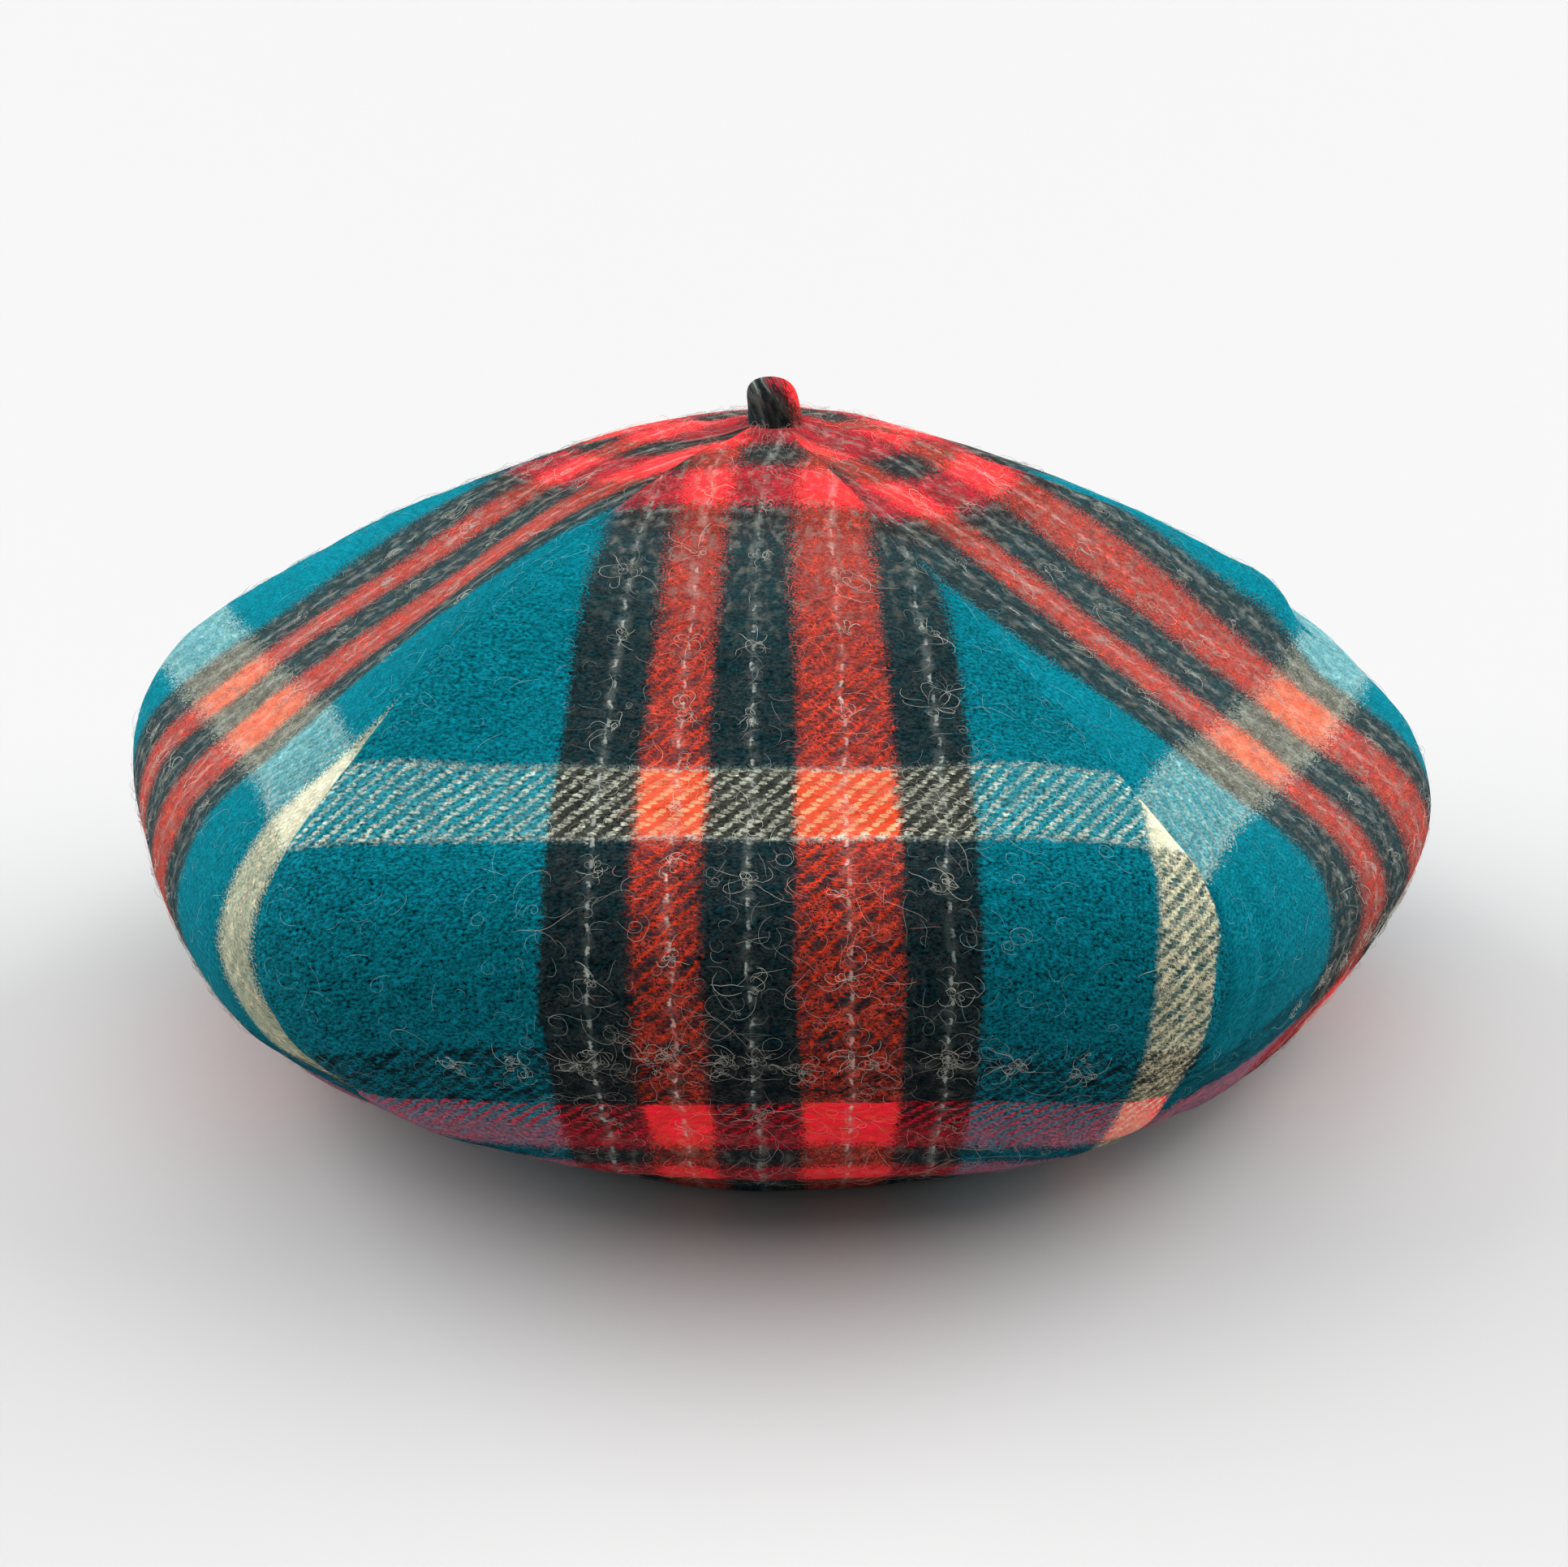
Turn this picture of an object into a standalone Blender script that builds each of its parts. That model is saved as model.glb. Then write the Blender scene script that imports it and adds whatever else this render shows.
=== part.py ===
"""Tam o'shanter: a soft tartan beret of five gores that meet under a stubby cloth stalk.

Units are metres and degrees, +Z up. The hat rests on the rim of its head opening, and the origin
is below the middle of the hat, on that resting plane. The front gore faces -Y. Azimuths are about
the tip: 0 is the front and +90 the +X side.
"""

import math

import bmesh
import bpy
from mathutils import Vector

MM = 0.001

# The hat as a whole
TIP = Vector((0.1 * MM, 3.5 * MM, 0.0))  # where the gores meet, seen from above
OVALNESS = 0.110  # how much longer the plan is from side to side than from front to back
OVAL_TURN = 0.1  # how far the oval is turned, in degrees
LOBES = 0.035  # how much the plan swells at the front and at the two sides of the back
REACH = 142 * MM  # the radius at which the droop and the lean are stated
DROOP = 14.7 * MM  # how far the sides of the crown hang, and the front and back stand up
LEAN = 3.4 * MM  # how much lower the +X side hangs than the middle
DROOP_FADES = 26 * MM  # below this height both fade, so that the opening rests flat

# The cloth
CLOTH = 2.2 * MM  # brushed wool
HEM_CLOTH = 4.4 * MM  # the same cloth turned in and doubled round the head opening
HEM_WIDTH = 18 * MM
HEM_FADES = 4.5 * MM  # the height over which the doubled cloth thins to a single one
SEAM_GAP = 0.3 * MM  # the hairline between two sewn gores
SLACK = 3.7 * MM  # how far a gore sinks between its two seams
SLACK_BALANCE = 0.55  # the share of that which lies inside the plain form
CREASE_DEPTH = 2.4 * MM  # the valley that the seam stitching pulls in
CREASE_WIDTH = 9.5 * MM
RIDGE_WIDTH = 17.6 * MM  # how far from a seam its ridge on the crown reaches
RIDGE_STEP = 4.4  # the profile step at which the ridges stand highest
RIDGE_REACH = 2.1  # how far up and down from there they reach, in steps
HOLLOW_STEP = 5.7  # the profile step at which the gores are hollowed most
HOLLOW_REACH = 2.4
DIMPLE_DEPTH = 2.5 * MM  # the dip that the stalk stands in
DIMPLE_WIDTH = 11 * MM

# How finely a gore is divided, and the angle in degrees beyond which a fold shows as an edge
COLUMNS = 12
ROWS = 26
SHARP_FOLD = 50

# The fall of the hat from the middle of the crown to the head opening, at even steps of cloth
PROFILE = (
    # section, radius, height, both in millimetres
    ("tip", 0.0, 142.1),
    ("stalk ring", 18.3, 139.9),
    ("upper crown", 34.0, 134.3),
    ("mid crown", 52.3, 125.4),
    ("lower crown", 71.5, 115.4),
    ("upper shoulder", 90.4, 106.0),
    ("shoulder", 107.8, 96.1),
    ("upper turn", 126.0, 82.9),
    ("widest", 133.5, 65.2),
    ("lower turn", 130.1, 45.5),
    ("upper underside", 122.0, 29.9),
    ("lower underside", 112.4, 15.9),
    ("rim", 90.2, 2.3),
    ("turned edge", 86.0, -11.0),
)
TOP_RADIUS = 4.0 * MM  # the gores' points stop here, round the stalk

# Where the five seams run: straight down from the shoulder, twisting a little near the tip
SEAMS = (
    # seam, azimuth at the rim, twist at the tip, height of its ridge on the crown in millimetres
    ("left_back", -106.3, -5.2, 4.7),
    ("front_left", -49.0, -2.9, 6.9),
    ("front_right", 42.4, -18.4, 0.4),
    ("right_back", 101.8, -9.5, 5.5),
    ("back", 178.5, -9.7, 3.9),
)
TWIST_FADES = 3.3  # profile steps from the tip over which the twist dies away

GORES = (
    # gore, the seam before it, the seam after it, how deep its crown is hollowed in millimetres,
    # where a minus means a swelling
    ("gore_front", "front_left", "front_right", 2.4),
    ("gore_right", "front_right", "right_back", 4.7),
    ("gore_back_right", "right_back", "back", 2.0),
    ("gore_back_left", "back", "left_back", 1.9),
    ("gore_left", "left_back", "front_left", -1.3),
)

# Soft hollows in the cloth: where they lie, how far they reach and how deep they are. A minus
# means a swelling.
DENTS = (
    # place, azimuth, profile step, reach round, reach down in steps, depth in millimetres
    ("left shoulder", -104.0, 6.6, 12.0, 1.1, -3.2),
    ("left turn", -88.0, 8.9, 15.0, 1.3, 2.7),
    ("right shoulder high", 96.0, 5.6, 6.0, 0.5, -4.4),
    ("right turn", 89.0, 7.8, 14.0, 0.9, -4.8),
    ("front right corner", 34.0, 8.6, 7.0, 1.8, -0.4),
    ("front belly", -4.0, 9.0, 22.0, 2.2, -1.0),
    ("front hem right", 31.0, 11.6, 14.0, 1.2, -1.6),
    ("right shoulder", 98.0, 6.3, 9.0, 0.8, 3.1),
    ("front hem", -5.0, 11.6, 18.0, 1.2, 0.8),
    ("left side", -96.0, 7.6, 12.0, 1.2, -5.5),
    ("back belly", 150.0, 8.5, 14.0, 1.6, 3.0),
    ("back crown", -150.0, 4.5, 16.0, 1.4, 3.0),
    ("left back crown", -125.0, 3.6, 10.0, 0.8, 2.7),
    ("right belly", 62.0, 8.8, 12.0, 1.4, 2.1),
    ("left belly", -52.0, 8.6, 12.0, 1.4, -3.9),
    ("front keel", 5.0, 10.2, 20.0, 1.0, 1.5),
    ("right notch", 93.0, 6.8, 5.0, 0.5, -1.2),
)

# The stalk: a narrow tab of folded cloth, a flattened oval in section
STALK_SIDES = 16
STALK = (
    # section, height above the tip, half width, half depth, lean to -X, all in millimetres
    ("tail", -7.5, 3.0, 2.8, 0.0),
    ("neck", 0.6, 3.2, 3.0, 0.0),
    ("foot", 1.1, 5.7, 4.4, 0.0),
    ("lower tab", 2.4, 5.6, 4.1, 0.2),
    ("mid tab", 5.5, 5.3, 3.8, 0.5),
    ("upper tab", 8.6, 4.9, 3.5, 0.8),
    ("shoulder", 10.4, 3.9, 2.8, 1.0),
    ("top", 11.4, 1.9, 1.4, 1.1),
)

# Finishes: colour and roughness
TEAL_WOOL = ((0.012, 0.20, 0.27, 1.0), 0.95)
SCARLET_WOOL = ((0.36, 0.025, 0.018, 1.0), 0.95)


def through(rows, step):
    """The radius and height at a step of the profile, on one smooth curve through its rows."""
    points = [Vector((radius, height)) * MM for _, radius, height in rows]
    mirrored = Vector((-points[1].x, points[1].y))
    points = [mirrored] + points + [points[-1] * 2 - points[-2]]
    last = len(rows) - 2
    i = min(int(step), last)
    t = step - i
    a, b, c, d = points[i : i + 4]
    bend = a * 2 - b * 5 + c * 4 - d
    twist = b * 3 - a - c * 3 + d
    return b + (c - a) * (t / 2) + bend * (t * t / 2) + twist * (t * t * t / 2)


def seam_azimuth(name, step):
    """The azimuth of a seam at a step of the profile, in degrees."""
    _, at_rim, twist, _ = next(row for row in SEAMS if row[0] == name)
    return at_rim + twist * math.exp(-step / TWIST_FADES)


def gore_span(gore, step):
    """The azimuths of a gore's two edges at a step of the profile, the second the larger."""
    _, before, after, _ = gore
    start = seam_azimuth(before, step)
    end = seam_azimuth(after, step)
    return start, end + (360 if end < start else 0)


def plain_point(azimuth, step):
    """A point of the hat before its cloth swells, creases or dents."""
    radius, height = through(PROFILE, step)
    turn = math.radians(azimuth)
    sideways = math.cos(2 * (turn - math.radians(OVAL_TURN)))
    reach = radius / REACH
    fade = min(max(height / DROOP_FADES, 0.0), 1.0)
    fade = fade * fade * (3 - 2 * fade)
    height += (DROOP * sideways * reach * reach - LEAN * math.sin(turn) * reach) * fade
    radius *= 1 - OVALNESS * sideways + LOBES * math.cos(3 * turn)
    return TIP + Vector((radius * math.sin(turn), -radius * math.cos(turn), height))


def outward(azimuth, step):
    """The direction that the cloth faces at a point."""
    nudge = 0.05
    around = plain_point(azimuth + nudge, step) - plain_point(azimuth - nudge, step)
    down = plain_point(azimuth, step + nudge) - plain_point(azimuth, step - nudge)
    return down.cross(around).normalized()


def bell(distance, reach):
    return math.exp(-((distance / reach) ** 2))


def crown_relief(gore, step, across, half_width):
    """How far the stiff seams lift the crown, and its slack gores hollow it."""
    _, before, after, hollow = gore
    height = {seam: ridge * MM for seam, _, _, ridge in SEAMS}
    ridge = height[before] * bell((1 + across) * half_width, RIDGE_WIDTH)
    ridge += height[after] * bell((1 - across) * half_width, RIDGE_WIDTH)
    sunk = hollow * MM * (1 - across * across)
    ridge *= bell(step - RIDGE_STEP, RIDGE_REACH)
    return ridge - sunk * bell(step - HOLLOW_STEP, HOLLOW_REACH)


def relief(gore, azimuth, step, across, half_width):
    """How far the cloth stands out from the plain form: its slack, seams, dimple and dents."""
    edge = (1 - abs(across)) * half_width
    share = min(step / (len(PROFILE) - 2), 1.0)
    dimple = bell(through(PROFILE, step).x, DIMPLE_WIDTH)
    swell = math.sqrt(math.sin(math.pi * share)) * (1 - dimple) if share < 1 else 0.0
    out = crown_relief(gore, step, across, half_width) * (1 - dimple)
    out -= SLACK * (SLACK_BALANCE - across * across) * swell
    out -= CREASE_DEPTH * bell(edge, CREASE_WIDTH) * swell
    out -= DIMPLE_DEPTH * dimple
    for _, at_azimuth, at_step, reach_round, reach_down, depth in DENTS:
        turn = (azimuth - at_azimuth + 180) % 360 - 180
        out -= depth * MM * bell(turn, reach_round) * bell(step - at_step, reach_down)
    return out


def thickness(height):
    """The cloth's thickness, which doubles in the hem."""
    share = min(max((HEM_WIDTH - height) / HEM_FADES, 0.0), 1.0)
    return CLOTH + (HEM_CLOTH - CLOTH) * share


def gore_points(gore, step):
    """One row of a gore from seam to seam: its outer points and its inner points."""
    start, end = gore_span(gore, step)
    middle = (start + end) / 2
    radius, height = through(PROFILE, step)
    half_width = math.radians(end - start) / 2 * radius
    reach = (end - start) / 2 * (1 - SEAM_GAP / 2 / half_width)
    outer, inner = [], []
    for column in range(COLUMNS + 1):
        across = math.sin(math.pi / 2 * (2 * column / COLUMNS - 1))
        azimuth = middle + reach * across
        facing = outward(azimuth, step)
        stands = relief(gore, azimuth, step, across, half_width)
        point = plain_point(azimuth, step) + facing * stands
        outer.append(point)
        inner.append(point - facing * thickness(height))
    return outer, inner


def top_step():
    """The profile step where the gores' points stop."""
    low, high = 0.0, 1.0
    while high - low > 1e-4:
        middle = (low + high) / 2
        if through(PROFILE, middle).x < TOP_RADIUS:
            low = middle
        else:
            high = middle
    return high


def material(name, finish):
    colour, roughness = finish
    made = bpy.data.materials.new(name)
    made.use_nodes = True
    shader = made.node_tree.nodes["Principled BSDF"]
    shader.inputs["Base Color"].default_value = colour
    shader.inputs["Roughness"].default_value = roughness
    shader.inputs["Metallic"].default_value = 0.0
    return made


def place(name, mesh_data, finish):
    """Turn a finished bmesh into a named, smooth-shaded object."""
    bmesh.ops.recalc_face_normals(mesh_data, faces=mesh_data.faces)
    mesh = bpy.data.meshes.new(name)
    mesh_data.to_mesh(mesh)
    mesh_data.free()
    mesh.shade_smooth()
    mesh.set_sharp_from_angle(angle=math.radians(SHARP_FOLD))
    mesh.materials.append(finish)
    made = bpy.data.objects.new(name, mesh)
    bpy.context.collection.objects.link(made)
    return made


def strip(mesh_data, first, second):
    """Quads between two rows of vertices."""
    for i in range(len(first) - 1):
        mesh_data.faces.new((first[i], first[i + 1], second[i + 1], second[i]))


def make_gore(gore, finish):
    """One gore: a wall of cloth from the stalk to the head opening, cut flat where it rests."""
    mesh_data = bmesh.new()
    first = top_step()
    last = len(PROFILE) - 1
    outer, inner = [], []
    for row in range(ROWS + 1):
        step = first + (last - first) * row / ROWS
        out_row, in_row = gore_points(gore, step)
        outer.append([mesh_data.verts.new(p) for p in out_row])
        inner.append([mesh_data.verts.new(p) for p in in_row])
    for row in range(ROWS):
        strip(mesh_data, outer[row], outer[row + 1])
        strip(mesh_data, inner[row + 1], inner[row])
    strip(mesh_data, inner[0], outer[0])
    strip(mesh_data, outer[-1], inner[-1])
    for column in (0, -1):
        strip(mesh_data, [r[column] for r in outer], [r[column] for r in inner])
    geometry = mesh_data.verts[:] + mesh_data.edges[:] + mesh_data.faces[:]
    cut = bmesh.ops.bisect_plane(
        mesh_data, geom=geometry, plane_co=(0, 0, 0), plane_no=(0, 0, -1), clear_outer=True
    )
    edges = [e for e in cut["geom_cut"] if isinstance(e, bmesh.types.BMEdge)]
    bmesh.ops.holes_fill(mesh_data, edges=edges, sides=0)
    bmesh.ops.triangulate(mesh_data, faces=mesh_data.faces)
    return place(gore[0], mesh_data, finish)


def make_stalk(finish):
    """The stalk: oval rings joined into one closed tab, leaning a little."""
    mesh_data = bmesh.new()
    tip = through(PROFILE, 0.0).y - DIMPLE_DEPTH
    rings = []
    for _, height, half_width, half_depth, lean in STALK:
        ring = []
        for side in range(STALK_SIDES):
            turn = 2 * math.pi * side / STALK_SIDES
            x = half_width * MM * math.cos(turn) - lean * MM
            y = half_depth * MM * math.sin(turn)
            ring.append(mesh_data.verts.new(TIP + Vector((x, y, tip + height * MM))))
        rings.append(ring)
    for lower, upper in zip(rings, rings[1:]):
        strip(mesh_data, lower + lower[:1], upper + upper[:1])
    mesh_data.faces.new(rings[0])
    mesh_data.faces.new(rings[-1])
    bmesh.ops.triangulate(mesh_data, faces=mesh_data.faces)
    return place("stalk", mesh_data, finish)


def build():
    for old in list(bpy.data.objects):
        bpy.data.objects.remove(old, do_unlink=True)
    wool = material("tartan_wool", TEAL_WOOL)
    for gore in GORES:
        make_gore(gore, wool)
    make_stalk(material("stalk_wool", SCARLET_WOOL))


build()
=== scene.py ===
import math

import bmesh
import bpy
import numpy as np
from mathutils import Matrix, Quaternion, Vector, noise


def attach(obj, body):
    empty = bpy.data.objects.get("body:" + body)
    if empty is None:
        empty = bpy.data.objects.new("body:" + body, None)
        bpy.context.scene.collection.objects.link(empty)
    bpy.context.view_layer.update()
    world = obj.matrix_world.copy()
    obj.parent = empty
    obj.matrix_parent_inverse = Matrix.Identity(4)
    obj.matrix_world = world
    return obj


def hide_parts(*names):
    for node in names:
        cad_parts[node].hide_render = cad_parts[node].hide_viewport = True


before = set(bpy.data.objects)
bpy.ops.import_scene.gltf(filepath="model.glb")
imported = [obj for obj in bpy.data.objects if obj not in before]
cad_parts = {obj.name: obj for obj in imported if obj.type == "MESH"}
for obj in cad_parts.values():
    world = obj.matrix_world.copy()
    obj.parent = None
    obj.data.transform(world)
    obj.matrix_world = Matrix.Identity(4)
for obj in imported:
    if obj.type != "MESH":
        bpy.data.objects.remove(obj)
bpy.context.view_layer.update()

# ---------------------------------------------------------------------------------------------
# The five gores. Each is one wall of brushed wool twill, cut as a tall leaf shape from the same
# tartan with the stripes running down it, sewn to its neighbours with the seam allowances
# pressed open inside, and turned in and doubled round the head opening.

MM = 0.001

# the plain form, before its cloth swells or creases: lengths in millimetres, the rest as shares
TIP = np.array([0.1, 3.5, 0.0])  # where the gores meet
REACH = 142.0  # the radius that the shares of the radius are taken of
OVALNESS = 0.110  # wider from side to side than from front to back
OVAL_TURN = math.radians(0.1)
LOBES = 0.035  # fuller in three directions, one of them the front
DROOP = 14.7  # the sides hang by so much, and the front and the back stand up by it
LEAN = 3.4  # the right side hangs by so much, and the left stands up by it
DROOP_FADES = 26.0  # from this height down the cloth lies more and more level

# radius and height of the hat at even steps of cloth, from the tip to the rim, in millimetres
FALL = np.array(
    [
        (0.0, 142.1), (18.3, 139.9), (34.0, 134.3), (52.3, 125.4), (71.5, 115.4), (90.4, 106.0),
        (107.8, 96.1), (126.0, 82.9), (133.5, 65.2), (130.1, 45.5), (122.0, 29.9),
        (112.4, 15.9), (90.2, 2.3), (86.0, -11.0),
    ]
)
RIM = 12

# azimuth at the rim and twist at the tip in degrees, height of the ridge on the crown in mm
SEAMS = {
    "left_back": (-106.3, -5.2, 4.7),
    "front_left": (-49.0, -2.9, 6.9),
    "front_right": (42.4, -18.4, 0.4),
    "right_back": (101.8, -9.5, 5.5),
    "back": (178.5, -9.7, 3.9),
}
# the seams of each gore, and how deep its crown is hollowed in millimetres
GORES = {
    "gore_front": ("front_left", "front_right", 2.4),
    "gore_right": ("front_right", "right_back", 4.7),
    "gore_back_right": ("right_back", "back", 2.0),
    "gore_back_left": ("back", "left_back", 1.9),
    "gore_left": ("left_back", "front_left", -1.3),
}
SLACK = 3.7  # in millimetres, as the depths and widths below are
SAGGING = 0.55  # the share of it that a gore's middle sags in by, and its edges swell by the rest
CREASE_DEPTH = 2.4  # the groove along a seam
CREASE_WIDTH = 9.5
DIMPLE_DEPTH = 2.5  # the dip that the stalk stands in
DIMPLE_WIDTH = 11.0
RIDGE_WIDTH = 17.6
RIDGE_STEP = 4.4
RIDGE_REACH = 2.1
HOLLOW_STEP = 5.7
HOLLOW_REACH = 2.4
TWIST_FADES = 3.3

# hollows of one gore's cloth, and swellings where the depth is below nothing: azimuth, step,
# reach round in degrees, reach down in steps and depth in millimetres
HOLLOWS = (
    (-104.0, 6.6, 12.0, 1.1, -3.2),
    (-88.0, 8.9, 15.0, 1.3, 2.7),
    (96.0, 5.6, 6.0, 0.5, -4.4),
    (89.0, 7.8, 14.0, 0.9, -4.8),
    (34.0, 8.6, 7.0, 1.8, -0.4),
    (-4.0, 9.0, 22.0, 2.2, -1.0),
    (31.0, 11.6, 14.0, 1.2, -1.6),
    (98.0, 6.3, 9.0, 0.8, 3.1),
    (-5.0, 11.6, 18.0, 1.2, 0.8),
    (-96.0, 7.6, 12.0, 1.2, -5.5),
    (150.0, 8.5, 14.0, 1.6, 3.0),
    (-150.0, 4.5, 16.0, 1.4, 3.0),
    (-125.0, 3.6, 10.0, 0.8, 2.7),
    (62.0, 8.8, 12.0, 1.4, 2.1),
    (-52.0, 8.6, 12.0, 1.4, -3.9),
    (5.0, 10.2, 20.0, 1.0, 1.5),
    (93.0, 6.8, 5.0, 0.5, -1.2),
)

CLOTH = 2.2  # how thick it is, in millimetres
HEM_CLOTH = 4.4
HEM_WIDTH = 18.0
ALLOWANCE = 9.0  # the width of cloth pressed back on each side of a seam, inside


def smooth(low, high, value):
    """An eased share, from 0 at low to 1 at high."""
    share = np.clip((value - low) / (high - low), 0.0, 1.0)
    return share * share * (3 - 2 * share)


def hill(distance, reach):
    """One at no distance, and less and less beyond the reach."""
    return np.exp(-((distance / reach) ** 2))


def curve(rows, at):
    """Values at places along a smooth curve through rows, the first of which is the one before."""
    i = np.clip(np.floor(at).astype(int), 0, len(rows) - 4)
    t = (at - i)[..., None]
    a, b, c, d = rows[i], rows[i + 1], rows[i + 2], rows[i + 3]
    bend = 2 * a - 5 * b + 4 * c - d
    twist = 3 * b - a - 3 * c + d
    return b + (c - a) * t / 2 + bend * t * t / 2 + twist * t * t * t / 2


def fall(step):
    """Radius and height at a step, on a smooth curve through the table."""
    rows = np.vstack([[-FALL[1, 0], FALL[1, 1]], FALL, 2 * FALL[-1] - FALL[-2]])
    return curve(rows, step)


def seam_azimuth(name, step):
    """The azimuth of a seam at a step, in degrees. By the tip the seams twist to one side."""
    at_rim, twist, _ = SEAMS[name]
    return at_rim + twist * np.exp(-step / TWIST_FADES)


def plain(azimuth, step):
    """Points of the hat before its cloth swells or creases, in millimetres."""
    radius, height = np.moveaxis(fall(step), -1, 0)
    turn = np.radians(azimuth)
    sideways = np.cos(2 * (turn - OVAL_TURN))
    share = radius / REACH
    sag = DROOP * sideways * share**2 - LEAN * np.sin(turn) * share
    height = height + sag * smooth(0, DROOP_FADES, height)
    radius = radius * (1 - OVALNESS * sideways + LOBES * np.cos(3 * turn))
    return TIP + np.stack([radius * np.sin(turn), -radius * np.cos(turn), height], -1)


def facing(azimuth, step):
    """The way the plain form faces."""
    around = plain(azimuth + 0.05, step) - plain(azimuth - 0.05, step)
    down = plain(azimuth, step + 0.05) - plain(azimuth, step - 0.05)
    out = np.cross(down, around)
    return out / np.linalg.norm(out, axis=-1, keepdims=True)


def form(gore, azimuth, step, across, half_width):
    """How far the cloth stands out from the plain form, in millimetres."""
    before, after, hollow = GORES[gore]
    dimple = hill(fall(step)[..., 0], DIMPLE_WIDTH)
    swell = np.sqrt(np.clip(np.sin(np.pi * np.clip(step / RIM, 0, 1)), 0, 1)) * (1 - dimple)
    ridge = SEAMS[before][2] * hill((1 + across) * half_width, RIDGE_WIDTH)
    ridge = ridge + SEAMS[after][2] * hill((1 - across) * half_width, RIDGE_WIDTH)
    ridge = ridge * hill(step - RIDGE_STEP, RIDGE_REACH)
    crown = ridge - hollow * (1 - across**2) * hill(step - HOLLOW_STEP, HOLLOW_REACH)
    edge = (1 - np.abs(across)) * half_width
    out = crown * (1 - dimple) - SLACK * (SAGGING - across**2) * swell
    out = out - CREASE_DEPTH * hill(edge, CREASE_WIDTH) * swell - DIMPLE_DEPTH * dimple
    for at_azimuth, at_step, reach_round, reach_down, depth in HOLLOWS:
        turn = (azimuth - at_azimuth + 180) % 360 - 180
        out = out - depth * hill(turn, reach_round) * hill(step - at_step, reach_down)
    return out


def unevenness(points, height, size, seed):
    """Smooth bumps and hollows at each point, of a height and a size in millimetres."""
    flat = points.reshape(-1, 3) / size + seed
    values = [noise.noise(Vector(p)) for p in flat]
    return height * np.array(values).reshape(points.shape[:-1])


# the low relief of the sewn cloth: its height, its size and the seed of its noise
LUMPS = (0.40, 22.0, 11.0)
SMALL_LUMPS = (0.16, 6.0, 17.0)
PUCKERS = (0.30, 4.5, 23.0)
PUCKER_REACH = 5.0  # how far they go from a seam, in millimetres
RIPPLES = (0.7, 16.0, 29.0)
RIPPLE_SHAPE = np.array([1.0, 1.0, 0.25])  # they run up and down
RIPPLES_BELOW = (26, 4)  # from no ripples to whole ones, by height

# the allowance inside lifts the cloth by a seam, and its edge leaves a groove, in millimetres
PRESSED_RISE = 0.30
PRESSED_SLOPE = (9.8, 6.5)  # from no rise to the whole one, by how far it is from the seam
PRESSED_GROOVE = 0.40
PRESSED_EDGE = 9.6
PRESSED_WIDTH = 1.9
PRESSED_STEP = 8.4  # it shows most round the shoulder
PRESSED_REACH = 1.2
PRESSED_ELSEWHERE = 0.15
SEAMS_SHOW = (12, 40)  # from nothing to all of it, by radius
STITCH_DEPTH = 0.55
STITCH_WIDTH = 0.9
STITCHES_SHOW = (4, 14)

# the cloth piles up round the foot of the stalk, in millimetres
PILE_HEIGHT = 1.7
PILE_RADIUS = 6.0
PILE_WIDTH = 4.5


def outside(gore, azimuth, step, across, half_width):
    """The finished outer face of the cloth and the way it faces, in millimetres."""
    base = plain(azimuth, step)
    way = facing(azimuth, step)
    edge = (1 - np.abs(across)) * half_width
    radius = fall(step)[..., 0]
    sewn = smooth(*SEAMS_SHOW, radius)
    most = hill(step - PRESSED_STEP, PRESSED_REACH)
    pressed = PRESSED_RISE * smooth(*PRESSED_SLOPE, edge)
    pressed = pressed - PRESSED_GROOVE * hill(edge - PRESSED_EDGE, PRESSED_WIDTH)
    pressed = pressed * sewn * (PRESSED_ELSEWHERE + (1 - PRESSED_ELSEWHERE) * most)
    stitched = -STITCH_DEPTH * hill(edge, STITCH_WIDTH) * smooth(*STITCHES_SHOW, radius)
    lumps = unevenness(base, *LUMPS) + unevenness(base, *SMALL_LUMPS)
    puckers = unevenness(base, *PUCKERS) * hill(edge, PUCKER_REACH) * sewn
    ripples = unevenness(base * RIPPLE_SHAPE, *RIPPLES) * smooth(*RIPPLES_BELOW, base[..., 2])
    piled = PILE_HEIGHT * hill(radius - PILE_RADIUS, PILE_WIDTH)
    out = form(gore, azimuth, step, across, half_width)
    out = out + pressed + stitched + lumps + puckers + ripples + piled
    return base + way * out[..., None], way


STALK_HOLE = 4.0  # the radius at which the gores' points stop, in millimetres


def first_step():
    """The step at which the gores' points stop, round the stalk."""
    steps = np.linspace(0, 1, 2001)
    return steps[np.argmax(fall(steps)[:, 0] > STALK_HOLE)]


HALF_ANGLE = math.radians(36)  # half of the fifth of a circle that a gore is cut to

# How far making up has drawn the cloth of a gore out of its even lay, in millimetres: at the
# tip, at the shoulder and at the rim, each at the first seam, in the middle and at the second.
DRAWN_ACROSS = {
    "gore_front": ((-12, 2, 14), (4, 0, 0), (9, 2, 17)),
    "gore_right": ((-18, -2, 11), (18, -1, -9), (22, -2, -20)),
    "gore_left": ((-9, 6, 23), (11, 0, 6), (20, 4, -11)),
}
DRAWN_DOWN = {
    "gore_front": ((-11, -2, -4), (7, -1, 11), (16, 1, 22)),
    "gore_right": ((-6, -18, -19), (6, -2, 3), (10, 12, 14)),
    "gore_left": ((-23, -13, 7), (-9, -4, 9), (6, 6, 5)),
}


def drawn(table, share, step):
    """How far cloth is drawn at its places, between the nine that a table gives."""

    def parts(at):
        return np.stack([at * (at - 1) / 2, 1 - at * at, at * (at + 1) / 2], -1)

    return np.einsum("...i,ij,...j", parts(2 * step / RIM - 1), np.array(table, float), parts(share))


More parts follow.
